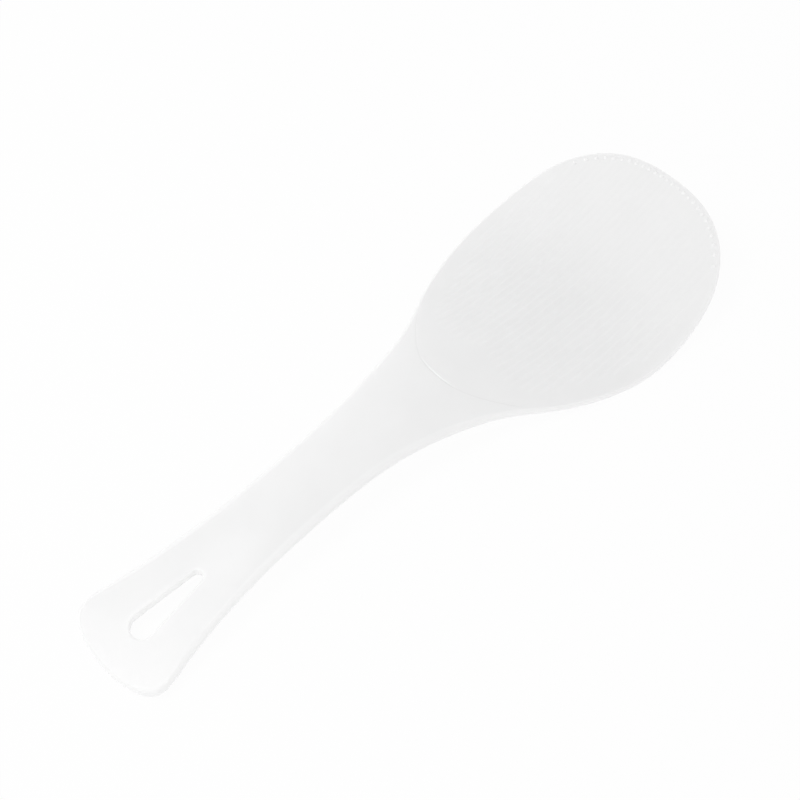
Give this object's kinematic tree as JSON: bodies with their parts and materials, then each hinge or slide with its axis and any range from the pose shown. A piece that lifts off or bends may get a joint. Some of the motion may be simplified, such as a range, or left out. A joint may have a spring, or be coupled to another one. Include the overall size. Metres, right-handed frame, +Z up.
{
  "type": "rice paddle",
  "caption": "White moulded rice paddle: an oval blade with fine raised rows that curls up at the tip, an arched waisted handle and a drop-shaped hanging hole.",
  "frame": {"origin": "centre of the footprint, on the table that the paddle lies on", "axes": "+X along the paddle to the tip of the blade, +Y across it, +Z up from the table to its face"},
  "size_m": [0.2, 0.0682, 0.0166],
  "materials": {
    "plastic": "white translucent polypropylene, fine satin sheen"
  },
  "bodies": {
    "root": {"paddle": "plastic"}
  },
  "joints": []
}
